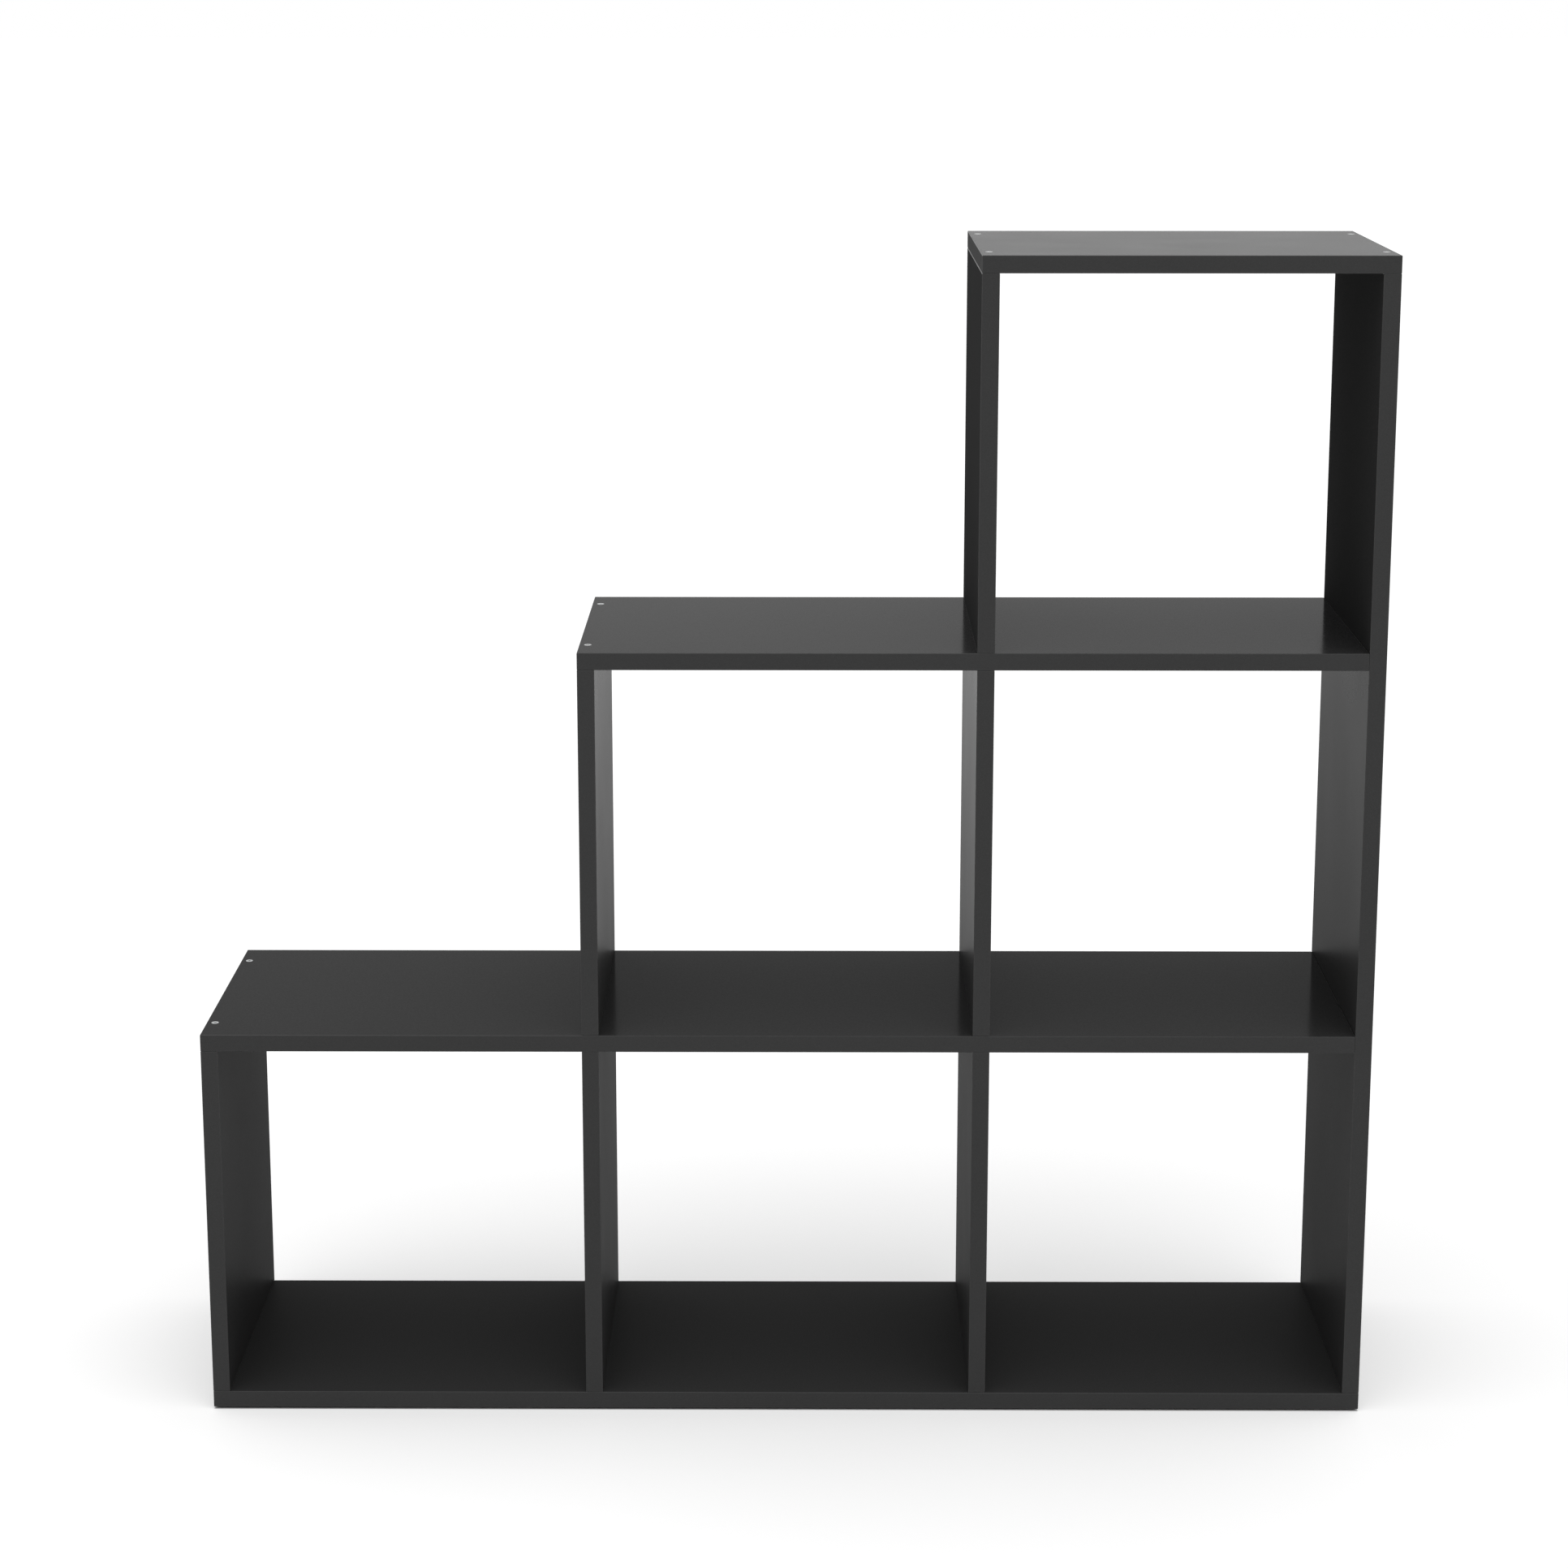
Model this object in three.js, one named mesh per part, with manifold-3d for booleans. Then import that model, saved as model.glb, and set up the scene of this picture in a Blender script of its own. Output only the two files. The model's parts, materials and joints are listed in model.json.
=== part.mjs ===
// Staircase bookshelf with six open cells: three below, two above them and one on top.
// Faced boards, joined by flat-headed connecting screws and wooden dowels, stand on nailed glides.
// Millimetres, +Z up. The steps rise towards +X, and the front edges face -Y.
import * as THREE from "three";
import { RoundedBoxGeometry } from "three/addons/geometries/RoundedBoxGeometry.js";
import { mergeVertices } from "three/addons/utils/BufferGeometryUtils.js";
import Module from "manifold-3d";

// Boards
const BOARD = 16; // thickness of every board
const DEPTH = 295.4; // from the front edges to the back edges
const OUTER_BAY = 342.2; // clear width of the left and the right column of cells
const MIDDLE_BAY = 350.5; // clear width of the middle column
const LOW_CELL = 340.8; // clear height of the bottom row
const MIDDLE_CELL = 349; // clear height of the middle row
const TOP_CELL = 344.9; // clear height of the top cell
const EDGE_ROUNDING = 1; // radius of the banded edges
const EDGE_STEPS = 1; // points on each rounded edge between its two ends
const JOINT_GAP = 0.1; // hairline between two boards that meet

// Fits
const FIT_GAP = 0.3; // clearance round a fastener in its hole
const OVERRUN = 2; // how far a cut runs past the face that it starts from
const ROUND_SIDES = 16;

// Connecting screws
const SCREW_LENGTH = 50;
const SCREW_DIAMETER = 5; // over the thread
const SCREW_INSET = 40.5; // from a front or back edge to the nearest screw
const SCREW_POINT = 4; // length of the tapered point
const SCREW_POINT_DIAMETER = 2;
const HEAD_DIAMETER = 7;
const HEAD_RIM = 0.6; // straight side of the head
const HEAD_CONE = 1.6; // taper from the rim to the shank
const HEAD_SINK = 0.2; // how far the head lies below the face
const SOCKET_ACROSS_FLATS = 3;
const SOCKET_DEPTH = 2.4;
const SOCKET_SIDES = 6;

// Dowels
const DOWEL_LENGTH = 30;
const DOWEL_DIAMETER = 8;
const DOWEL_CHAMFER = 1;
const DOWEL_FLOOR = 5.5; // board left below the dowel's hole
const DOWEL_SPACING = 32; // from a row of screws to the nearest dowel

// Glides
const GLIDE_THICKNESS = 2;
const GLIDE_DIAMETER = 15;
const GLIDE_BEVEL = 0.6;
const GLIDE_INSET = 18; // from a front or back edge to the glide's centre
const NAIL_DIAMETER = 2;
const NAIL_LENGTH = 10;
const NAIL_POINT = 1.5;

// Left faces of the four lines of uprights, from the left outer face
const X_LEFT = 0;
const X_SECOND = X_LEFT + BOARD + OUTER_BAY;
const X_THIRD = X_SECOND + BOARD + MIDDLE_BAY;
const X_RIGHT = X_THIRD + BOARD + OUTER_BAY;
const WIDTH = X_RIGHT + BOARD;

// Undersides of the four flat boards, from the floor
const Z_BASE = GLIDE_THICKNESS + JOINT_GAP;
const Z_LOWER = Z_BASE + BOARD + LOW_CELL;
const Z_MIDDLE = Z_LOWER + BOARD + MIDDLE_CELL;
const Z_TOP = Z_MIDDLE + BOARD + TOP_CELL;

const SCREW_ROWS = { front: SCREW_INSET, back: DEPTH - SCREW_INSET };
const DOWEL_ROWS = {
  front: SCREW_ROWS.front + DOWEL_SPACING,
  back: SCREW_ROWS.back - DOWEL_SPACING,
};
const GLIDE_ROWS = { front: GLIDE_INSET, back: DEPTH - GLIDE_INSET };

// Every turned piece is drawn round Y. Its outer end then looks along one of these.
const TURNED_AXIS = new THREE.Vector3(0, 1, 0);
const FACING_DOWN = new THREE.Vector3(0, 0, -1);
const FACING_UP = new THREE.Vector3(0, 0, 1);
const FACING_RIGHT = new THREE.Vector3(1, 0, 0);

const LAMINATE = new THREE.MeshStandardMaterial({ color: 0x32302f, roughness: 0.45, metalness: 0 });
const ZINC = new THREE.MeshStandardMaterial({ color: 0xc9cbcb, roughness: 0.35, metalness: 0.9 });
const BEECH = new THREE.MeshStandardMaterial({ color: 0xd8b98c, roughness: 0.8, metalness: 0 });
const PLASTIC = new THREE.MeshStandardMaterial({ color: 0x161616, roughness: 0.6, metalness: 0 });

const { Manifold, Mesh } = await loadManifold();

async function loadManifold() {
  const wasm = await Module();
  wasm.setup();
  return wasm;
}

// A closed solid from a geometry, without the empty triangles that a turned shape has on its axis.
function solidFrom(geometry) {
  const bare = geometry.clone();
  bare.deleteAttribute("normal");
  bare.deleteAttribute("uv");
  const merged = mergeVertices(bare);
  const corners = merged.index.array;
  const triangles = [];
  for (let i = 0; i < corners.length; i += 3) {
    const [a, b, c] = corners.slice(i, i + 3);
    if (a !== b && b !== c && c !== a) triangles.push(a, b, c);
  }
  const vertProperties = merged.attributes.position.array;
  return new Manifold(new Mesh({ numProp: 3, vertProperties, triVerts: new Uint32Array(triangles) }));
}

function geometryFrom(solid) {
  const mesh = solid.getMesh();
  const shared = new THREE.BufferGeometry();
  shared.setAttribute("position", new THREE.BufferAttribute(mesh.vertProperties, mesh.numProp));
  shared.setIndex(new THREE.BufferAttribute(mesh.triVerts, 1));
  const geometry = shared.toNonIndexed();
  geometry.computeVertexNormals();
  return geometry;
}

// A turned shape from [radius, height] pairs, listed upwards.
function turned(profile) {
  const points = profile.map(([radius, height]) => new THREE.Vector2(radius, height));
  return new THREE.LatheGeometry(points, ROUND_SIDES);
}

// The screw's outline has its head at height 0. With a gap it becomes the hole that takes the screw.
function screwOutline(gap, headEnd) {
  const rim = HEAD_DIAMETER / 2 + gap;
  const shank = SCREW_DIAMETER / 2 + gap;
  return [
    [0, -SCREW_LENGTH - gap],
    [SCREW_POINT_DIAMETER / 2 + gap, -SCREW_LENGTH - gap],
    [shank, SCREW_POINT - SCREW_LENGTH - gap],
    [shank, -HEAD_RIM - HEAD_CONE - gap],
    [rim, -HEAD_RIM - gap],
    [rim, headEnd],
    [0, headEnd],
  ];
}

function makeScrew() {
  const reach = SOCKET_DEPTH + OVERRUN;
  const corner = SOCKET_ACROSS_FLATS / 2 / Math.cos(Math.PI / SOCKET_SIDES);
  const socket = new THREE.CylinderGeometry(corner, corner, reach, SOCKET_SIDES);
  socket.translate(0, OVERRUN - reach / 2, 0);
  return geometryFrom(solidFrom(turned(screwOutline(0, 0))).subtract(solidFrom(socket)));
}

// The dowel stands on its lower end at height 0.
function dowelOutline(gap) {
  const radius = DOWEL_DIAMETER / 2 + gap;
  return [
    [0, -gap],
    [radius - DOWEL_CHAMFER, -gap],
    [radius, DOWEL_CHAMFER - gap],
    [radius, DOWEL_LENGTH - DOWEL_CHAMFER + gap],
    [radius - DOWEL_CHAMFER, DOWEL_LENGTH + gap],
    [0, DOWEL_LENGTH + gap],
  ];
}

// The glide's foot faces up at height 0 here, and its nail points down.
function glideOutline() {
  const nail = NAIL_DIAMETER / 2;
  const foot = GLIDE_DIAMETER / 2;
  return [
    [0, -GLIDE_THICKNESS - NAIL_LENGTH],
    [nail, NAIL_POINT - GLIDE_THICKNESS - NAIL_LENGTH],
    [nail, -GLIDE_THICKNESS],
    [foot, -GLIDE_THICKNESS],
    [foot, -GLIDE_BEVEL],
    [foot - GLIDE_BEVEL, 0],
    [0, 0],
  ];
}

function nailHole() {
  const radius = NAIL_DIAMETER / 2 + FIT_GAP;
  const bottom = -GLIDE_THICKNESS - NAIL_LENGTH - FIT_GAP;
  return [
    [0, bottom],
    [radius, bottom],
    [radius, 0],
    [0, 0],
  ];
}

const KINDS = {
  screw: { geometry: makeScrew(), hole: turned(screwOutline(FIT_GAP, OVERRUN)), material: ZINC },
  dowel: { geometry: turned(dowelOutline(0)), hole: turned(dowelOutline(FIT_GAP)), material: BEECH },
  glide: { geometry: turned(glideOutline()), hole: turned(nailHole()), material: PLASTIC },
};

// Boards are kept by name as the corner nearest the origin and the size.
const boards = new Map();

function flatBoard(name, xFrom, xTo, z) {
  const low = new THREE.Vector3(xFrom, 0, z);
  boards.set(name, { low, size: new THREE.Vector3(xTo - xFrom, DEPTH, BOARD) });
}

// An upright stands on the flat board at zBelow and carries the one at zAbove.
function uprightBoard(name, x, zBelow, zAbove) {
  const bottom = zBelow + BOARD + JOINT_GAP;
  const low = new THREE.Vector3(x, 0, bottom);
  boards.set(name, { low, size: new THREE.Vector3(BOARD, DEPTH, zAbove - JOINT_GAP - bottom) });
}

flatBoard("base_board", X_LEFT, WIDTH, Z_BASE);
flatBoard("lower_shelf", X_LEFT, X_RIGHT - JOINT_GAP, Z_LOWER);
flatBoard("middle_shelf", X_SECOND, X_RIGHT - JOINT_GAP, Z_MIDDLE);
flatBoard("top_board", X_THIRD, WIDTH, Z_TOP);
uprightBoard("low_side_panel", X_LEFT, Z_BASE, Z_LOWER);
uprightBoard("lower_left_divider", X_SECOND, Z_BASE, Z_LOWER);
uprightBoard("lower_right_divider", X_THIRD, Z_BASE, Z_LOWER);
uprightBoard("middle_side_panel", X_SECOND, Z_LOWER, Z_MIDDLE);
uprightBoard("middle_divider", X_THIRD, Z_LOWER, Z_MIDDLE);
uprightBoard("top_side_panel", X_THIRD, Z_MIDDLE, Z_TOP);
uprightBoard("tall_side_panel", X_RIGHT, Z_BASE, Z_TOP);

// A fixing is one screw, dowel or glide, with its place and the boards that it is let into.
const fixings = [];

function fixPair(kind, label, rows, x, z, facing, holders) {
  const turn = new THREE.Quaternion().setFromUnitVectors(TURNED_AXIS, facing);
  for (const [row, y] of Object.entries(rows)) {
    const position = new THREE.Vector3(x, y, z);
    fixings.push({ kind, name: `${kind}_${label}_${row}`, position, turn, holders });
  }
}

// Screws driven up through the base board, and a glide below each upright
const standing = ["low_side_panel", "lower_left_divider", "lower_right_divider", "tall_side_panel"];
for (const upright of standing) {
  const x = boards.get(upright).low.x + BOARD / 2;
  const holders = ["base_board", upright];
  fixPair("screw", `base_to_${upright}`, SCREW_ROWS, x, Z_BASE + HEAD_SINK, FACING_DOWN, holders);
  fixPair("glide", `under_${upright}`, GLIDE_ROWS, x, 0, FACING_DOWN, ["base_board"]);
}

// Screws driven down through a flat board into the upright below it
const hung = [
  ["lower_shelf", "low_side_panel"],
  ["lower_shelf", "lower_left_divider"],
  ["lower_shelf", "lower_right_divider"],
  ["middle_shelf", "middle_side_panel"],
  ["middle_shelf", "middle_divider"],
  ["top_board", "top_side_panel"],
  ["top_board", "tall_side_panel"],
];
for (const [flat, upright] of hung) {
  const x = boards.get(upright).low.x + BOARD / 2;
  const z = boards.get(flat).low.z + BOARD - HEAD_SINK;
  fixPair("screw", `${flat}_to_${upright}`, SCREW_ROWS, x, z, FACING_UP, [flat, upright]);
}

// Screws driven through the tall side panel into the ends of two shelves
for (const flat of ["lower_shelf", "middle_shelf"]) {
  const z = boards.get(flat).low.z + BOARD / 2;
  const holders = ["tall_side_panel", flat];
  fixPair("screw", `tall_side_to_${flat}`, SCREW_ROWS, WIDTH - HEAD_SINK, z, FACING_RIGHT, holders);
}

// Dowels that place an upright on the shelf below it
const doweled = [
  ["lower_shelf", "middle_side_panel"],
  ["lower_shelf", "middle_divider"],
  ["middle_shelf", "top_side_panel"],
];
for (const [flat, upright] of doweled) {
  const x = boards.get(upright).low.x + BOARD / 2;
  const z = boards.get(flat).low.z + DOWEL_FLOOR + FIT_GAP;
  fixPair("dowel", `${flat}_to_${upright}`, DOWEL_ROWS, x, z, FACING_UP, [flat, upright]);
}

function makeBoard(name, { low, size }) {
  const centre = low.clone().addScaledVector(size, 1 / 2);
  let solid = solidFrom(new RoundedBoxGeometry(size.x, size.y, size.z, EDGE_STEPS, EDGE_ROUNDING));
  for (const fixing of fixings.filter(({ holders }) => holders.includes(name))) {
    const hole = KINDS[fixing.kind].hole.clone();
    hole.applyQuaternion(fixing.turn);
    hole.translate(...fixing.position.clone().sub(centre));
    solid = solid.subtract(solidFrom(hole));
  }
  const mesh = new THREE.Mesh(geometryFrom(solid), LAMINATE);
  mesh.name = name;
  mesh.position.copy(centre);
  return mesh;
}

function makeFixing({ kind, name, position, turn }) {
  const mesh = new THREE.Mesh(KINDS[kind].geometry, KINDS[kind].material);
  mesh.name = name;
  mesh.position.copy(position);
  mesh.quaternion.copy(turn);
  return mesh;
}

// The origin lies on the floor, below the middle of the shelf.
const bookshelf = new THREE.Group();
bookshelf.position.set(-WIDTH / 2, -DEPTH / 2, 0);
for (const [name, board] of boards) bookshelf.add(makeBoard(name, board));
for (const fixing of fixings) bookshelf.add(makeFixing(fixing));

export default bookshelf;
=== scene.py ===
import bisect
import json
import math

import bmesh
import bpy
from mathutils import Matrix, Vector


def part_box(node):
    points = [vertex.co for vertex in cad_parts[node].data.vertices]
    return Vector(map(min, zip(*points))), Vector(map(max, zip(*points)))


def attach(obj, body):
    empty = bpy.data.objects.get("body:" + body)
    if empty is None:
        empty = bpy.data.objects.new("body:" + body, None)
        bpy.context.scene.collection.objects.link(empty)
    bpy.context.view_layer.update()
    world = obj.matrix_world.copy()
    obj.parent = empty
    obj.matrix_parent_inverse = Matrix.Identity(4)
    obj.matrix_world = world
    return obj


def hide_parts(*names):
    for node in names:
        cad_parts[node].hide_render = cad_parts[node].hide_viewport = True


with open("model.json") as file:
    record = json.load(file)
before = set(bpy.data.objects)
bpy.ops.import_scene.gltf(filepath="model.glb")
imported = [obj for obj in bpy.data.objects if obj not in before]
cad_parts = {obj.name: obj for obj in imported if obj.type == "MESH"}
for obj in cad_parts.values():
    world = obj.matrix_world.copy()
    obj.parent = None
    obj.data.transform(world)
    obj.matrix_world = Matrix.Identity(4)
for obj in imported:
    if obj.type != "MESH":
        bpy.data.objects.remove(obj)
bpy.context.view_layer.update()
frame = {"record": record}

X, Y, Z = range(3)
AXES = (X, Y, Z)
LOW, HIGH = range(2)  # the two sides of a box along an axis
EIGHTH_TURN = math.tau / 8

# Boards
EDGE_ROUNDING = 0.0006
ROUNDING_STEPS = 3  # grid lines on each half of a rounded edge
SEAM_WIDTH = 0.00016  # hairline between a face and its edge band
SEAM_DEPTH = 0.00009
SEAM_LINE = 1  # the hairline's middle, in grid lines from the end of the rounding
HOLE_SIDES = 32
HOLE_CELL = 0.005  # from a hole's centre to the sides of the square of grid around it
HOLE_RIM = 0.00008  # bevel where a hole opens
HOLE_OVERRUN = 0.005  # how far a screw's hole goes on above its head
FIT_GAP = 0.0003  # clearance round a fastener in its hole
HEAD_GAP = 0.00002  # clearance round a pressed-in screw head
GRID_DIGITS = 6  # grid lines of two holes are one where they agree to a micrometre
SHARP_ANGLE = math.radians(30)

# Connecting screws
HEAD_RIM = 0.0006
HEAD_BEVEL = 0.00012
HEAD_CONE = 0.0016
HEAD_PROUD = 0.0003  # how far an open head stands out of its board
SHANK_RADIUS = 0.0025
COLLAR_LENGTH = 0.011  # from the top of the head to the end of the plain shank
CORE_RADIUS = 0.00175
POINT_LENGTH = 0.004
POINT_RADIUS = 0.001
PITCH = 0.003
THREAD_SHARES = ((0, 0), (0.55, 0), (0.75, 1), (0.8, 1))  # shares of the pitch and the height
THREAD_RUN_IN = 0.0006  # plain core at each end of the thread
THREAD_START = 0.15  # share of its height with which the thread begins and ends
SCREW_SIDES = 30
SOCKET_REACH = 0.0015  # half the distance across the socket's flats
SOCKET_DEPTH = 0.0024
SOCKET_POINT = 0.00075  # depth of the cone at the socket's bottom
SOCKET_BEVEL = 0.00018
GOLDEN_TURN = math.pi * (3 - math.sqrt(5))  # from each screw's turn to the next one's

# Dowels
DOWEL_CHAMFER = 0.001
FLUTES = 24
FLUTE_DEPTH = 0.00035
SIDES_PER_FLUTE = 4

# Glides
GLIDE_THICKNESS = 0.002
GLIDE_BEVEL = 0.0006
GLIDE_SIDES = 48
NAIL_RADIUS = 0.001
NAIL_POINT = 0.0015
NAIL_HEAD_RADIUS = 0.0026
NAIL_HEAD_SINK = 0.0006
NAIL_HEAD_CROWN = 0.00025
NAIL_RECESS_RADIUS = 0.0029

# Nodes
PLAIN_DETAIL = 2  # detail of a noise
FINE_DETAIL = 3
FINEST_DETAIL = 4
MIDDLE_HALF = (0.25, 0.75)  # where the middle half of a noise lies
FULL_RANGE = (0, 1)
MIX_SHARE, MIX_FIRST, MIX_SECOND = 0, 6, 7  # sockets of a mix node that is set to colours
MIX_RESULT = 2
WHITE = (1, 1, 1, 1)

# Facing. The photo's boards mirror a dim room, so the index of refraction is low for a white studio.
FACE_GRAIN = 0.0012
FACE_GREYS = (0.026, 0.036)
FACE_INDEX = 1.04
BAND_GRAIN = 0.0008
BAND_GREYS = (0.048, 0.058)
BAND_INDEX = 1.03
TRIM_GREYS = (0.046, 0.056)
TRIM_INDEX = 1.22
PORE_SIZE = 1.5  # size of the facing's pores over that of its grain
PORE_DEPTH = 0.00003
PORE_STRENGTH = 0.5
SHEEN_CLOUD_SIZE = 0.1
SHEEN_CLOUD = (-0.01, 0.01)

# Other finishes
CHIPS_PER_METRE = 700
CHIP_COLOURS = ((0.30, 0.19, 0.10), (0.52, 0.37, 0.21))
CHIP_ROUGHNESS = (0.8, 0.95)
CHIP_DEPTH = 0.0003
ZINC_CLOUD_SIZE = 0.0012
ZINC_COLOURS = ((0.38, 0.39, 0.395), (0.48, 0.485, 0.485))
ZINC_ROUGHNESS = (0.28, 0.42)
ZINC_GRAIN = 0.0003
ZINC_GRAIN_DEPTH = 0.00001
ZINC_GRAIN_STRENGTH = 0.6
BEECH_STRETCH = (1, 1, 0.08)  # the grain runs along the dowel
BEECH_GRAIN = 0.0008
BEECH_GRAIN_DEPTH = 0.00008
BEECH_FLECK = 0.0003
BEECH_COLOURS = ((0.58, 0.38, 0.21), (0.74, 0.54, 0.34))
BEECH_ROUGHNESS = (0.55, 0.75)
PLASTIC_GRAIN = 0.0005
PLASTIC_GRAIN_DEPTH = 0.00003
PLASTIC_GREYS = (0.010, 0.018)
PLASTIC_ROUGHNESS = (0.45, 0.6)

# Camera, from the lines of the photograph
CAMERA_PLACE = (0.016128, -3.345825, 1.358037)
CAMERA_TILT = 0.2276  # below the horizon, radians
CAMERA_TURN = 0.0055
CAMERA_LENS = 81.785  # millimetres
CAMERA_SENSOR = 36  # width in millimetres

# Studio. The dome and the softbox together light a face that looks up at about a plain level.
FLOOR_REACH = 60
FLOOR_COLOUR = (0.8, 0.8, 0.8, 1)
FLOOR_GLOW = 0.29  # only for what looks at the floor: makes the open floor white, leaves the shadow
BACKGROUND_GLOW = 1
DOME_LIGHT = 0.33
SOFTBOX_LIGHT = 0.73 * math.pi
SOFTBOX_WIDTH = math.radians(100)
SOFTBOX_TILT = math.radians(12)  # from straight above towards the front


# Materials

def add_node(tree, kind, inputs=None, **settings):
    """A node with its settings and inputs. An input is a value, or the socket that feeds it."""
    node = tree.nodes.new(kind)
    for name, value in settings.items():
        setattr(node, name, value)
    for name, value in (inputs or {}).items():
        if isinstance(value, bpy.types.NodeSocket):
            tree.links.new(value, node.inputs[name])
        else:
            node.inputs[name].default_value = value
    return node


def start_material(name):
    """An empty node material and its place coordinates, in metres."""
    material = bpy.data.materials.new(name)
    material.use_nodes = True
    material.node_tree.nodes.clear()
    place = add_node(material.node_tree, "ShaderNodeTexCoord").outputs["Object"]
    return material, material.node_tree, place


def finish_material(tree, **inputs):
    names = {name.replace("_", " "): value for name, value in inputs.items()}
    shader = add_node(tree, "ShaderNodeBsdfPrincipled", names)
    add_node(tree, "ShaderNodeOutputMaterial", {"Surface": shader.outputs[0]})


def noise(tree, place, size, detail=PLAIN_DETAIL):
    """Noise with features about that large."""
    inputs = {"Vector": place, "Scale": 1 / size, "Detail": detail}
    return add_node(tree, "ShaderNodeTexNoise", inputs).outputs["Fac"]


def spread(tree, share, low, high):
    """The middle half of a noise, stretched to run from low to high."""
    near, far = MIDDLE_HALF
    inputs = {"Value": share, "From Min": near, "From Max": far, "To Min": low, "To Max": high}
    return add_node(tree, "ShaderNodeMapRange", inputs).outputs["Result"]


def blended(tree, share, first, second):
    """A colour between two, as share runs from 0 to 1."""
    inputs = {MIX_SHARE: share, MIX_FIRST: (*first, 1), MIX_SECOND: (*second, 1)}
    return add_node(tree, "ShaderNodeMix", inputs, data_type="RGBA").outputs[MIX_RESULT]


def blended_greys(tree, share, dark, light):
    return blended(tree, share, (dark, dark, dark), (light, light, light))


def calculated(tree, operation, first, second=0.0):
    return add_node(tree, "ShaderNodeMath", {0: first, 1: second}, operation=operation).outputs[0]


def by_height(tree, place, stops):
    """A value that follows (height, value) stops from the floor up."""
    height = add_node(tree, "ShaderNodeSeparateXYZ", {"Vector": place}).outputs["Z"]
    share = calculated(tree, "DIVIDE", height, TOP)
    ramp = add_node(tree, "ShaderNodeValToRGB", {"Fac": share})
    elements = ramp.color_ramp.elements
    elements.remove(elements[-1])
    for number, (stop, value) in enumerate(stops):
        element = elements.new(stop) if number else elements[0]
        element.position = stop / TOP
        element.color = (value, value, value, 1)
    return ramp.outputs["Color"]


def bumped(tree, height, distance, strength=1.0):
    inputs = {"Height": height, "Distance": distance, "Strength": strength}
    return add_node(tree, "ShaderNodeBump", inputs).outputs["Normal"]


def faced_material(name, grain, greys, sheen, index):
    """Near-black facing: a fine pearl of two greys, and a sheen of (height, roughness) stops."""
    material, tree, place = start_material(name)
    pearl = spread(tree, noise(tree, place, grain, FINE_DETAIL), *FULL_RANGE)
    clouds = spread(tree, noise(tree, place, SHEEN_CLOUD_SIZE), *SHEEN_CLOUD)
    pores = noise(tree, place, PORE_SIZE * grain, FINE_DETAIL)
    finish_material(
        tree,
        Base_Color=blended_greys(tree, pearl, *greys),
        Roughness=calculated(tree, "ADD", by_height(tree, place, sheen), clouds),
        IOR=index,
        Normal=bumped(tree, pores, PORE_DEPTH, PORE_STRENGTH),
    )
    return material


def chipboard_material():
    """Pressed wood chips, bare inside the drilled holes."""
    material, tree, place = start_material("particle_board")
    inputs = {"Vector": place, "Scale": CHIPS_PER_METRE, "Randomness": 1}
    chips = add_node(tree, "ShaderNodeTexVoronoi", inputs)
    tone = add_node(tree, "ShaderNodeSeparateColor", {"Color": chips.outputs["Color"]}).outputs[0]
    finish_material(
        tree,
        Base_Color=blended(tree, tone, *CHIP_COLOURS),
        Roughness=spread(tree, tone, *CHIP_ROUGHNESS),
        Normal=bumped(tree, chips.outputs["Distance"], CHIP_DEPTH),
    )
    return material


def zinc_material():
    """Zinc-plated steel with a soft, cloudy shine."""
    material, tree, place = start_material("zinc_plated_steel")
    clouds = noise(tree, place, ZINC_CLOUD_SIZE, FINE_DETAIL)
    grain = noise(tree, place, ZINC_GRAIN)
    finish_material(
        tree,
        Base_Color=blended(tree, clouds, *ZINC_COLOURS),
        Metallic=1.0,
        Roughness=spread(tree, clouds, *ZINC_ROUGHNESS),
        Normal=bumped(tree, grain, ZINC_GRAIN_DEPTH, ZINC_GRAIN_STRENGTH),
    )
    return material


def beech_material():
    """Beech with its grain along the dowel and short dark flecks."""
    material, tree, place = start_material("beech")
    inputs = {"Vector": place, "Scale": BEECH_STRETCH}
    stretched = add_node(tree, "ShaderNodeMapping", inputs).outputs["Vector"]
    grain = noise(tree, stretched, BEECH_GRAIN, FINEST_DETAIL)
    flecks = noise(tree, stretched, BEECH_FLECK)
    finish_material(
        tree,
        Base_Color=blended(tree, spread(tree, grain, *FULL_RANGE), *BEECH_COLOURS),
        Roughness=spread(tree, flecks, *BEECH_ROUGHNESS),
        Normal=bumped(tree, grain, BEECH_GRAIN_DEPTH),
    )
    return material


def plastic_material():
    """Black moulded plastic of the glides, lightly grained."""
    material, tree, place = start_material("black_glide_plastic")
    grain = noise(tree, place, PLASTIC_GRAIN)
    finish_material(
        tree,
        Base_Color=blended_greys(tree, grain, *PLASTIC_GREYS),
        Roughness=spread(tree, grain, *PLASTIC_ROUGHNESS),
        Normal=bumped(tree, grain, PLASTIC_GRAIN_DEPTH),
    )
    return material


def height_of(board, side):
    """The height of a flat board's underside or upper face."""
    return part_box(board)[side].z


# (height, roughness) stops. In the photo the facing's sheen changes from row to row.
TOP = height_of("top_board", HIGH)
SHELF_SHEEN = (
    (height_of("base_board", HIGH), 0.50),
    (height_of("lower_shelf", LOW), 0.13),
    (height_of("middle_shelf", HIGH), 0.13),
    (TOP, 0.20),
)
UPRIGHT_SHEEN = (
    (height_of("lower_shelf", LOW), 0.46),
    (height_of("lower_shelf", HIGH), 0.40),
    (height_of("middle_shelf", LOW), 0.26),
    (height_of("middle_shelf", HIGH), 0.95),
)
BAND_SHEEN = ((0, 0.60),)
TRIM_SHEEN = ((0, 0.35),)

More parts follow.
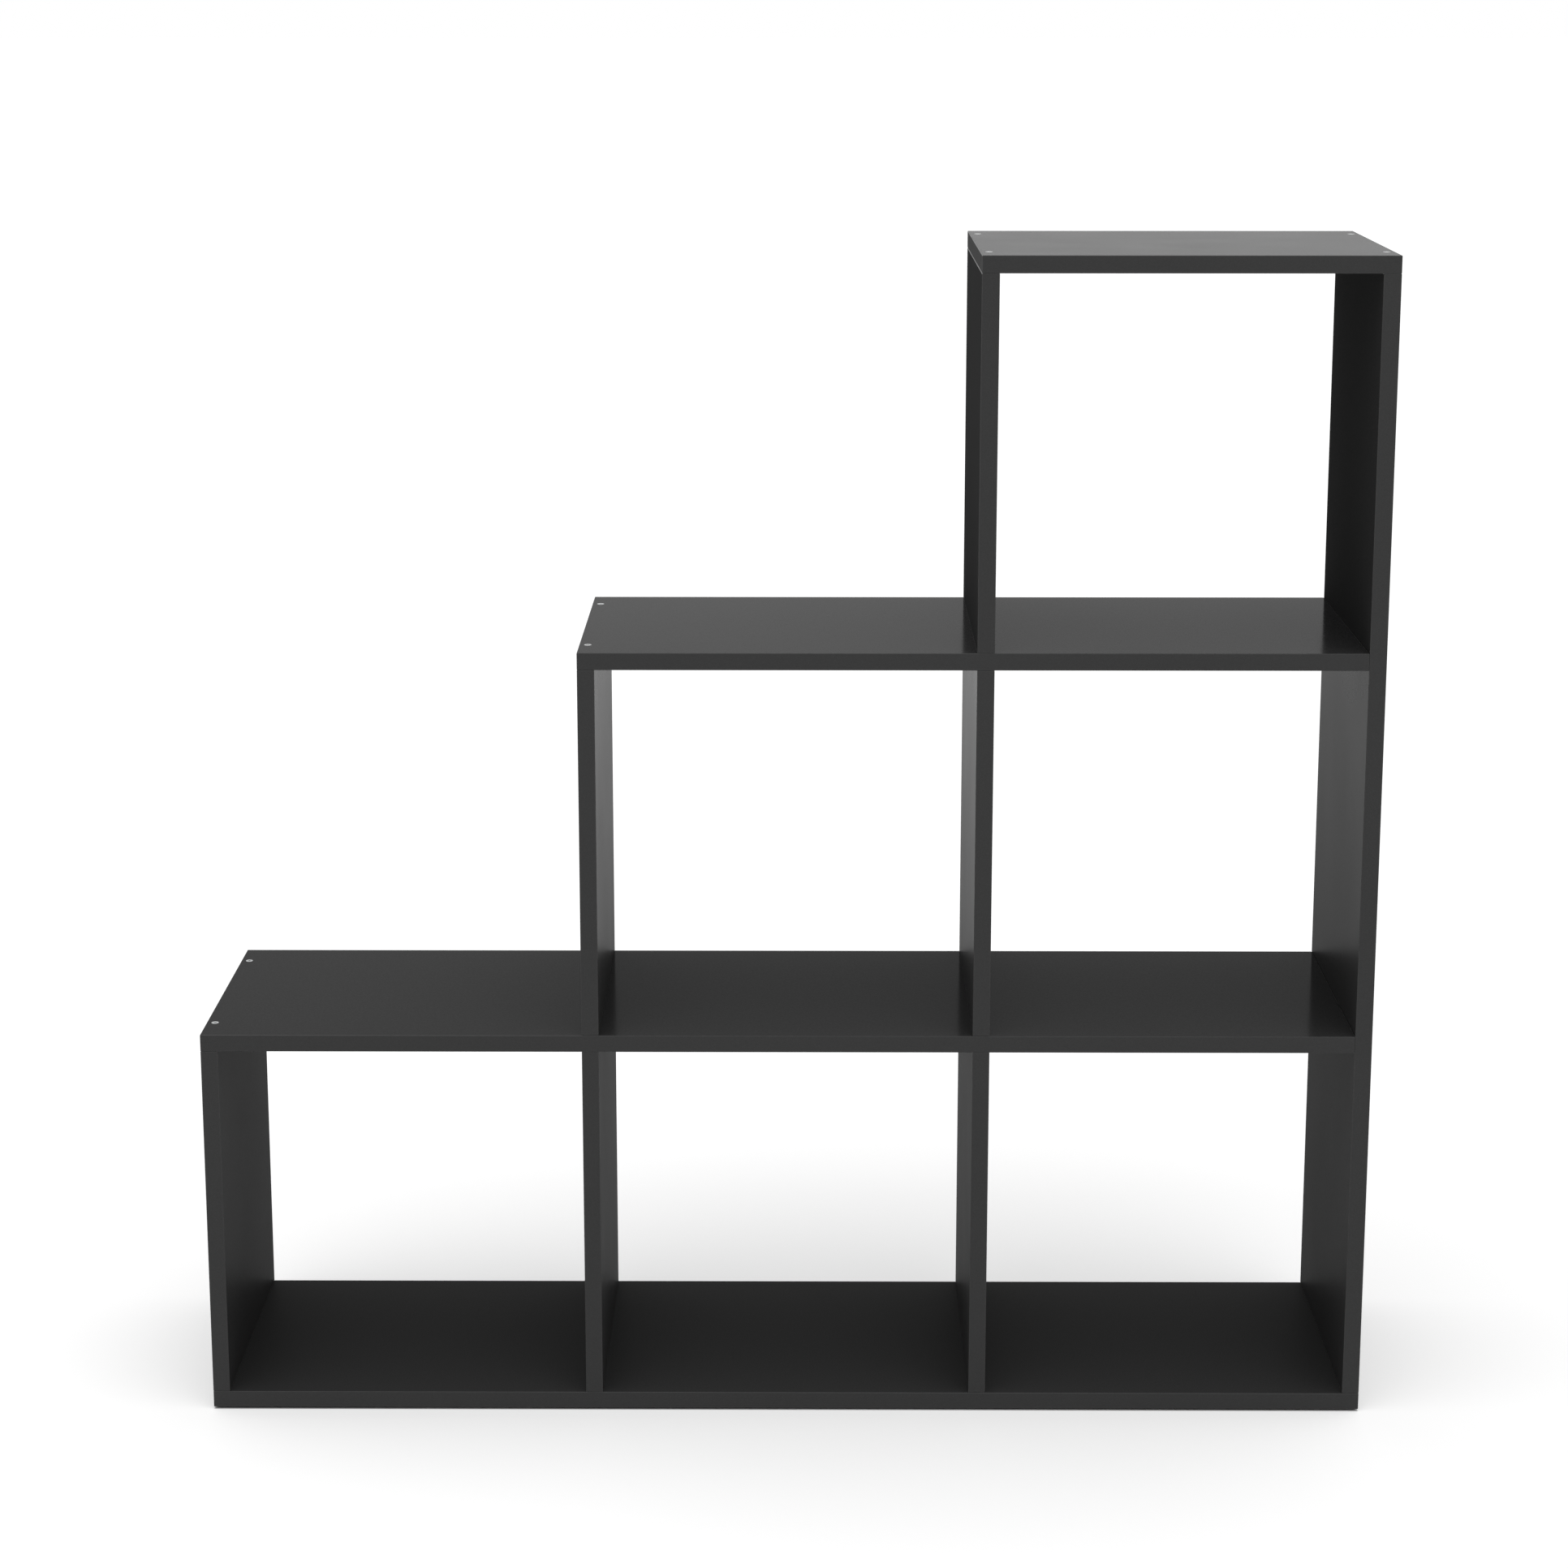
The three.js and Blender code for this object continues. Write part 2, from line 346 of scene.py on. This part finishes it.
LAMINATE, BAND, TRIM, CORE = range(4)  # a board's materials, in this order
SHELF_FACE = faced_material("black_shelf_laminate", FACE_GRAIN, FACE_GREYS, SHELF_SHEEN, FACE_INDEX)
UPRIGHT_FACE = faced_material("black_upright_laminate", FACE_GRAIN, FACE_GREYS, UPRIGHT_SHEEN, FACE_INDEX)
BOARD_EDGES = (
    faced_material("black_edge_band", BAND_GRAIN, BAND_GREYS, BAND_SHEEN, BAND_INDEX),
    faced_material("trimmed_edge_of_band", BAND_GRAIN, TRIM_GREYS, TRIM_SHEEN, TRIM_INDEX),
    chipboard_material(),
)
ZINC = zinc_material()
BEECH = beech_material()
PLASTIC = plastic_material()


# Meshes

def unit(axis):
    direction = Vector((0, 0, 0))
    direction[axis] = 1
    return direction


def other_axes(axis):
    """The two axes across this one, in right-handed order."""
    return (axis + 1) % len(AXES), (axis + 2) % len(AXES)


def round_ring(mesh, centre, across, up, radius, sides):
    """A ring of vertices. radius is a number, or a function of the angle."""
    ring = []
    for number in range(sides):
        angle = math.tau * number / sides
        reach = radius(angle) if callable(radius) else radius
        ring.append(mesh.verts.new(centre + reach * (math.cos(angle) * across + math.sin(angle) * up)))
    return ring


def bridge(mesh, first, second, material):
    """Quads between two rings. They face out where the second ring is lower, else to the axis."""
    for number in range(len(first)):
        after = (number + 1) % len(first)
        face = mesh.faces.new((first[number], second[number], second[after], first[after]))
        face.material_index = material
        face.smooth = True


def keep_mesh(mesh, name, materials):
    data = bpy.data.meshes.new(name)
    mesh.to_mesh(data)
    mesh.free()
    for material in materials:
        data.materials.append(material)
    data.set_sharp_from_angle(angle=SHARP_ANGLE)
    return data


def place_piece(data, node, matrix=Matrix.Identity(4)):
    """Puts a piece in the scene, in the place of its CAD node."""
    piece = bpy.data.objects.new(f"{node}_detailed", data)
    bpy.context.scene.collection.objects.link(piece)
    piece.matrix_world = matrix
    shading = piece.modifiers.new("flat_faces", "WEIGHTED_NORMAL")
    shading.keep_sharp = True
    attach(piece, "root")
    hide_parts(node)


# The nodes by the material slot that the record gives them
nodes_in = {}
for subpart in frame["record"]["subparts"]:
    nodes_in.setdefault(subpart["material_slot"], []).append(subpart["node"])


def facing_of(fastener):
    """The axis of a fastener, and the side that its outer end looks to."""
    if fastener.startswith("screw_tall_side"):
        return X, HIGH
    if fastener.startswith(("screw_base", "glide")):
        return Z, LOW
    return Z, HIGH


def size_of(fastener):
    """Length along its axis, and radius."""
    axis, _ = facing_of(fastener)
    across, _ = other_axes(axis)
    low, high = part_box(fastener)
    return (high - low)[axis], (high - low)[across] / 2


# Holes in the boards

def screw_hole(length, head_radius):
    """(depth, radius) pairs of a screw's hole, from above its head down to its point."""
    head = head_radius + HEAD_GAP
    shank = SHANK_RADIUS + FIT_GAP
    return [
        (-HOLE_OVERRUN, head),
        (HEAD_RIM + FIT_GAP, head),
        (HEAD_RIM + HEAD_CONE + FIT_GAP, shank),
        (length - POINT_LENGTH + FIT_GAP, shank),
        (length + FIT_GAP, POINT_RADIUS + FIT_GAP),
    ]


def dowel_hole(length, radius):
    wide = radius + FIT_GAP
    narrow = wide - DOWEL_CHAMFER
    return [
        (-FIT_GAP, narrow),
        (DOWEL_CHAMFER - FIT_GAP, wide),
        (length - DOWEL_CHAMFER + FIT_GAP, wide),
        (length + FIT_GAP, narrow),
    ]


def nail_hole(length):
    radius = NAIL_RADIUS + FIT_GAP
    return [(0, radius), (length + FIT_GAP, radius)]


def hole_of(fastener):
    """Axis, centre and (place, radius) pairs of a fastener's hole, upwards along that axis."""
    axis, side = facing_of(fastener)
    length, radius = size_of(fastener)
    low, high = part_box(fastener)
    centre = (low + high) / 2
    if fastener.startswith("screw"):
        depths = screw_hole(length, radius)
    elif fastener.startswith("dowel"):
        depths = dowel_hole(length, radius)
    else:
        depths = nail_hole(length)
    if side == HIGH:
        return axis, centre, [(high[axis] - depth, radius) for depth, radius in reversed(depths)]
    return axis, centre, [(low[axis] + depth, radius) for depth, radius in depths]


def radius_at(pairs, place):
    for (near, near_radius), (far, far_radius) in zip(pairs, pairs[1:]):
        if near <= place <= far:
            share = (place - near) / (far - near)
            return near_radius + share * (far_radius - near_radius)
    return None


def bores_of(low, high):
    """The part of each hole that lies in a board with these corners."""
    bores = []
    for fastener in nodes_in["zinc_steel"] + nodes_in["beech"] + nodes_in["glide_plastic"]:
        axis, centre, pairs = hole_of(fastener)
        beside = any(not low[other] < centre[other] < high[other] for other in other_axes(axis))
        first, last = pairs[0][0], pairs[-1][0]
        if beside or last <= low[axis] or first >= high[axis]:
            continue
        opens = (first < low[axis], last > high[axis])
        rings = [pair for pair in pairs if low[axis] < pair[0] < high[axis]]
        if opens[LOW]:
            radius = radius_at(pairs, low[axis])
            rings = [(low[axis], radius + HOLE_RIM), (low[axis] + HOLE_RIM, radius), *rings]
        if opens[HIGH]:
            radius = radius_at(pairs, high[axis])
            rings = [*rings, (high[axis] - HOLE_RIM, radius), (high[axis], radius + HOLE_RIM)]
        bores.append({"axis": axis, "centre": centre, "rings": rings, "opens": opens})
    return bores


def drill(mesh, bore):
    """Makes a bore's wall and blind end, and keeps the ring at each end for the faces around it."""
    across, up = other_axes(bore["axis"])
    rings = []
    for place, radius in bore["rings"]:
        centre = bore["centre"].copy()
        centre[bore["axis"]] = place
        rings.append(round_ring(mesh, centre, unit(across), unit(up), radius, HOLE_SIDES))
    rims = {0: bore["opens"][LOW], len(rings) - 2: bore["opens"][HIGH]}
    for number, (first, second) in enumerate(zip(rings, rings[1:])):
        bridge(mesh, first, second, LAMINATE if rims.get(number) else CORE)
    if not bore["opens"][LOW]:
        mesh.faces.new(rings[0]).material_index = CORE
    if not bore["opens"][HIGH]:
        mesh.faces.new(reversed(rings[-1])).material_index = CORE
    bore["ends"] = (rings[0], rings[-1])


# Boards

def grid_lines(low, high, seamed, marks):
    """Places of a board's grid lines along one axis."""
    near, far = low + EDGE_ROUNDING, high - EDGE_ROUNDING
    turns = [EIGHTH_TURN * step / ROUNDING_STEPS for step in range(ROUNDING_STEPS, 0, -1)]
    offsets = [EDGE_ROUNDING * math.tan(turn) for turn in turns]
    insets = [0, SEAM_WIDTH / 2, SEAM_WIDTH] if seamed else [0]
    start = [near - offset for offset in offsets] + [near + inset for inset in insets]
    end = [far - inset for inset in reversed(insets)] + [far + offset for offset in reversed(offsets)]
    return start + sorted(marks) + end


def build_board(name):
    """A board with rounded edges, a hairline round each face where its edge bands begin, and holes."""
    low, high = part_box(name)
    thin = min(AXES, key=lambda axis: high[axis] - low[axis])
    bores = bores_of(low, high)
    mesh = bmesh.new()
    for bore in bores:
        drill(mesh, bore)

    lines = []
    for axis in AXES:
        marks = set()
        for place in [bore["centre"][axis] for bore in bores if bore["axis"] != axis]:
            for reach in (-HOLE_CELL, HOLE_CELL):
                marks.add(round(place + reach, GRID_DIGITS))
        lines.append(grid_lines(low[axis], high[axis], axis != thin, marks))
    last = [len(places) - 1 for places in lines]

    def rank(axis, number):
        """How many grid lines this one lies inside the end of the flat part."""
        return min(number, last[axis] - number) - ROUNDING_STEPS

    def surface_point(index):
        sharp = Vector([lines[axis][index[axis]] for axis in AXES])
        flat = sharp.copy()
        for axis in AXES:
            flat[axis] = min(max(flat[axis], low[axis] + EDGE_ROUNDING), high[axis] - EDGE_ROUNDING)
        point = flat + EDGE_ROUNDING * (sharp - flat).normalized()
        inside = min(rank(axis, index[axis]) for axis in other_axes(thin))
        if index[thin] in (0, last[thin]) and inside == SEAM_LINE:
            point[thin] += SEAM_DEPTH if index[thin] == 0 else -SEAM_DEPTH
        return point

    corners = {}

    def corner(axis, side, first, second):
        """The grid point on a side of the board, by its line along each of the two other axes."""
        across, up = other_axes(axis)
        index = [0, 0, 0]
        index[axis] = side * last[axis]
        index[across] = first
        index[up] = second
        key = tuple(index)
        if key not in corners:
            corners[key] = mesh.verts.new(surface_point(key))
        return corners[key]

    def cell_of(bore):
        others = other_axes(bore["axis"])
        return tuple(bisect.bisect(lines[axis], bore["centre"][axis]) - 1 for axis in others)

    def material_at(axis, first, second):
        across, up = other_axes(axis)
        around = ((across, first), (across, first + 1), (up, second), (up, second + 1))
        inside = min(rank(*line) for line in around)
        if inside < 0:
            return TRIM
        return LAMINATE if axis == thin and inside >= SEAM_LINE else BAND

    def add_face(vertices, side, material):
        face = mesh.faces.new(vertices if side == HIGH else reversed(vertices))
        face.material_index = material
        face.smooth = True

    def add_collar(square, ring, side, material):
        """Joins each side of a square of the grid to a quarter of the ring inside it."""
        eighth = HOLE_SIDES // 8
        for number, near in enumerate(square):
            far = square[(number + 1) % len(square)]
            start = (2 * number - 3) * eighth
            arc = [ring[(start + step) % HOLE_SIDES] for step in range(2 * eighth, -1, -1)]
            add_face([near, far, *arc], side, material)

    for axis in AXES:
        across, up = other_axes(axis)
        for side in (LOW, HIGH):
            opened = {}
            for bore in bores:
                if bore["axis"] == axis and bore["opens"][side]:
                    opened[cell_of(bore)] = bore["ends"][side]
            for first in range(last[across]):
                for second in range(last[up]):
                    square = [
                        corner(axis, side, first, second),
                        corner(axis, side, first + 1, second),
                        corner(axis, side, first + 1, second + 1),
                        corner(axis, side, first, second + 1),
                    ]
                    material = material_at(axis, first, second)
                    if (first, second) in opened:
                        add_collar(square, opened[first, second], side, material)
                    else:
                        add_face(square, side, material)
    return mesh


for node in nodes_in["board_laminate"]:
    low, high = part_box(node)
    lying = high.z - low.z < high.x - low.x
    face = SHELF_FACE if lying else UPRIGHT_FACE
    board = keep_mesh(build_board(node), node, (face, *BOARD_EDGES))
    place_piece(board, node)


# Fasteners. Each is drawn round Z, with its outer end up at height 0.

def turned(mesh, profile, sides):
    """Rings of (radius, height, material), each joined to the one before it."""
    rings = []
    for radius, height, _ in profile:
        rings.append(round_ring(mesh, Vector((0, 0, height)), unit(X), unit(Y), radius, sides))
    for first, second, (_, _, material) in zip(rings, rings[1:], profile[1:]):
        bridge(mesh, first, second, material)
    return rings


def close(mesh, ring, height, material=0, outer=True):
    """Closes a ring with triangles to a point on the axis."""
    tip = mesh.verts.new((0, 0, height))
    for first, second in zip(ring, ring[1:] + ring[:1]):
        face = mesh.faces.new((tip, first, second) if outer else (tip, second, first))
        face.material_index = material
        face.smooth = True


def hexagon(reach):
    """Radius of a hexagon at an angle, reach from the middle to its flats."""
    sixth = math.tau / 6
    return lambda angle: reach / math.cos(angle % sixth - sixth / 2)


def fluted(radius):
    return lambda angle: radius - FLUTE_DEPTH * (1 - math.cos(FLUTES * angle)) / 2


def cut_thread(mesh, length, above, below):
    """A right-handed thread round a screw's core, between the ring above it and the one below it."""
    sides = len(above)
    room = length - COLLAR_LENGTH - 2 * THREAD_RUN_IN
    turns = int(room / PITCH) - 1
    steps = turns * sides

    def point(step, share, height_share):
        angle = math.tau * step / sides
        place = THREAD_RUN_IN + PITCH * (step / sides + share) - length
        fade = min(1, THREAD_START + step / sides, THREAD_START + turns - step / sides)
        taper = min(1, (place + length) / POINT_LENGTH)
        radius = CORE_RADIUS + height_share * fade * (SHANK_RADIUS - CORE_RADIUS)
        radius = POINT_RADIUS + taper * (radius - POINT_RADIUS)
        return mesh.verts.new((radius * math.cos(angle), radius * math.sin(angle), place))

    root = [point(step, 0, 0) for step in range(steps + sides + 1)]
    rails = [root]
    for share, height_share in THREAD_SHARES[1:]:
        rails.append([point(step, share, height_share) for step in range(steps + 1)])
    rails.append(root[sides:])
    faces = []
    for lower, upper in zip(rails, rails[1:]):
        for step in range(steps):
            faces.append((lower[step], lower[step + 1], upper[step + 1], upper[step]))
    for side in range(sides):
        after = (side + 1) % sides
        faces.append((below[side], below[after], root[side + 1], root[side]))
        faces.append((root[steps + side], root[steps + side + 1], above[after], above[side]))
    faces.append([*(rail[0] for rail in rails), below[0]])
    faces.append([*(rail[steps] for rail in reversed(rails)), above[0]])
    for vertices in faces:
        mesh.faces.new(vertices).smooth = True


def build_screw(length, head_radius):
    """A connecting screw: countersunk head with a hexagon socket, plain shank, coarse thread."""
    mesh = bmesh.new()
    profile = [
        (hexagon(SOCKET_REACH), -SOCKET_DEPTH, 0),
        (hexagon(SOCKET_REACH), -SOCKET_BEVEL, 0),
        (hexagon(SOCKET_REACH + SOCKET_BEVEL), 0, 0),
        (head_radius - HEAD_BEVEL, 0, 0),
        (head_radius, -HEAD_BEVEL, 0),
        (head_radius, -HEAD_RIM, 0),
        (SHANK_RADIUS, -HEAD_RIM - HEAD_CONE, 0),
        (SHANK_RADIUS, -COLLAR_LENGTH, 0),
        (CORE_RADIUS, -COLLAR_LENGTH - THREAD_RUN_IN, 0),
    ]
    head = turned(mesh, profile, SCREW_SIDES)
    close(mesh, head[0], -SOCKET_DEPTH - SOCKET_POINT)
    point = round_ring(mesh, Vector((0, 0, -length)), unit(X), unit(Y), POINT_RADIUS, SCREW_SIDES)
    close(mesh, point, -length, outer=False)
    cut_thread(mesh, length, head[-1], point)
    return mesh


def build_dowel(length, radius):
    """A fluted dowel with chamfered ends."""
    mesh = bmesh.new()
    profile = [
        (radius - DOWEL_CHAMFER, 0, 0),
        (fluted(radius), -DOWEL_CHAMFER, 0),
        (fluted(radius), -length / 2, 0),
        (fluted(radius), DOWEL_CHAMFER - length, 0),
        (radius - DOWEL_CHAMFER, -length, 0),
    ]
    rings = turned(mesh, profile, FLUTES * SIDES_PER_FLUTE)
    close(mesh, rings[0], 0)
    close(mesh, rings[-1], -length, outer=False)
    return mesh


def build_glide(length, radius):
    """A nailed glide: plastic foot, with the nail's low round head sunk in its middle."""
    mesh = bmesh.new()
    foot, nail = range(2)
    sine = math.sin(EIGHTH_TURN)
    cosine = math.cos(EIGHTH_TURN)
    profile = [
        (NAIL_HEAD_RADIUS * sine, NAIL_HEAD_CROWN * cosine - NAIL_HEAD_SINK, nail),
        (NAIL_HEAD_RADIUS, -NAIL_HEAD_SINK, nail),
        (NAIL_RECESS_RADIUS, -NAIL_HEAD_SINK, foot),
        (NAIL_RECESS_RADIUS, 0, foot),
        (radius - GLIDE_BEVEL, 0, foot),
        (radius - GLIDE_BEVEL * (1 - sine), GLIDE_BEVEL * (cosine - 1), foot),
        (radius, -GLIDE_BEVEL, foot),
        (radius, -GLIDE_THICKNESS, foot),
        (NAIL_RADIUS, -GLIDE_THICKNESS, foot),
        (NAIL_RADIUS, NAIL_POINT - length, nail),
    ]
    rings = turned(mesh, profile, GLIDE_SIDES)
    close(mesh, rings[0], NAIL_HEAD_CROWN - NAIL_HEAD_SINK, nail)
    close(mesh, rings[-1], -length, nail, outer=False)
    return mesh


def is_covered(place):
    """Whether a place lies inside a board."""
    for board in nodes_in["board_laminate"]:
        low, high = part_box(board)
        if all(low[axis] < place[axis] < high[axis] for axis in AXES):
            return True
    return False


def seat_of(fastener, angle):
    """Where a fastener sits: its outer end's centre and direction, and its turn round its axis."""
    axis, side = facing_of(fastener)
    low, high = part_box(fastener)
    centre = (low + high) / 2
    centre[axis] = high[axis] if side == HIGH else low[axis]
    outward = unit(axis) if side == HIGH else -unit(axis)
    if fastener.startswith("screw") and not is_covered(centre + HEAD_RIM * outward):
        centre += HEAD_PROUD * outward
    lean = unit(Z).rotation_difference(outward).to_matrix().to_4x4()
    return Matrix.Translation(centre) @ lean @ Matrix.Rotation(angle, 4, "Z")


KINDS = (  # slot, builder, materials, turn from each one to the next
    ("zinc_steel", build_screw, (ZINC,), GOLDEN_TURN),
    ("beech", build_dowel, (BEECH,), 0),
    ("glide_plastic", build_glide, (PLASTIC, ZINC), 0),
)
for slot, build, materials, turn in KINDS:
    shared = keep_mesh(build(*size_of(nodes_in[slot][0])), slot, materials)
    for count, node in enumerate(nodes_in[slot]):
        place_piece(shared, node, seat_of(node, turn * count))


# Floor, light and camera

def mixed(tree, share, first, second):
    return add_node(tree, "ShaderNodeMixShader", {0: share, 1: first, 2: second}).outputs[0]


def seen_or_lit(tree, seen, lit):
    """One shader where the camera, a mirror or clear glass looks at it, the other for soft light."""
    ray = add_node(tree, "ShaderNodeLightPath").outputs
    for kind in ("Is Camera Ray", "Is Glossy Ray", "Is Transmission Ray"):
        lit = mixed(tree, ray[kind], lit, seen)
    return lit


def outside_painted_shade(tree, place):
    """1 on the open floor and 0 below the base board, where the floor lies in real shadow and its glow is
    cut: painted shade under the board.
    """
    place_on = add_node(tree, "ShaderNodeSeparateXYZ", {"Vector": place}).outputs
    _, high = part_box("base_board")
    beyond = []
    for axis in (X, Y):
        distance = calculated(tree, "ABSOLUTE", place_on[axis])
        beyond.append(calculated(tree, "GREATER_THAN", distance, high[axis]))
    return calculated(tree, "MAXIMUM", *beyond)


def make_floor():
    """A pale floor that shows white where no shadow falls, with painted shade below the base board, and
    lets a camera below it look through.
    """
    material, tree, place = start_material("pale_floor")
    matt = add_node(tree, "ShaderNodeBsdfDiffuse", {"Color": FLOOR_COLOUR}).outputs[0]
    # The glow is cut below the base board, which paints shade under it.
    strength = calculated(tree, "MULTIPLY", outside_painted_shade(tree, place), FLOOR_GLOW)
    glow = add_node(tree, "ShaderNodeEmission", {"Color": WHITE, "Strength": strength}).outputs[0]
    both = add_node(tree, "ShaderNodeAddShader", {0: matt, 1: glow}).outputs[0]
    below = add_node(tree, "ShaderNodeNewGeometry").outputs["Backfacing"]
    clear = add_node(tree, "ShaderNodeBsdfTransparent").outputs[0]
    surface = mixed(tree, below, seen_or_lit(tree, both, matt), clear)
    add_node(tree, "ShaderNodeOutputMaterial", {"Surface": surface})
    mesh = bmesh.new()
    bmesh.ops.create_grid(mesh, x_segments=1, y_segments=1, size=FLOOR_REACH)
    floor = bpy.data.objects.new("floor", keep_mesh(mesh, "floor", (material,)))
    bpy.context.scene.collection.objects.link(floor)


def make_world():
    """A white background, and an even dome for soft light."""
    world = bpy.data.worlds.new("studio")
    world.use_nodes = True
    tree = world.node_tree
    tree.nodes.clear()
    white, dome = [
        add_node(tree, "ShaderNodeBackground", {"Color": WHITE, "Strength": strength}).outputs[0]
        for strength in (BACKGROUND_GLOW, DOME_LIGHT)
    ]
    add_node(tree, "ShaderNodeOutputWorld", {"Surface": seen_or_lit(tree, white, dome)})
    world.cycles.sampling_method = "NONE"
    bpy.context.scene.world = world


def make_softbox():
    """Wide soft light from above, a little from the front."""
    data = bpy.data.lights.new("softbox", "SUN")
    data.energy = SOFTBOX_LIGHT
    data.angle = SOFTBOX_WIDTH
    softbox = bpy.data.objects.new("softbox", data)
    softbox.rotation_euler = (SOFTBOX_TILT, 0, 0)
    bpy.context.scene.collection.objects.link(softbox)


def make_camera():
    data = bpy.data.cameras.new("camera")
    data.lens = CAMERA_LENS
    data.sensor_width = CAMERA_SENSOR
    camera = bpy.data.objects.new("camera", data)
    camera.location = CAMERA_PLACE
    camera.rotation_euler = (math.pi / 2 - CAMERA_TILT, 0, CAMERA_TURN)
    bpy.context.scene.collection.objects.link(camera)
    bpy.context.scene.camera = camera


make_floor()
make_world()
make_softbox()
make_camera()
bpy.context.scene.view_settings.view_transform = "Standard"
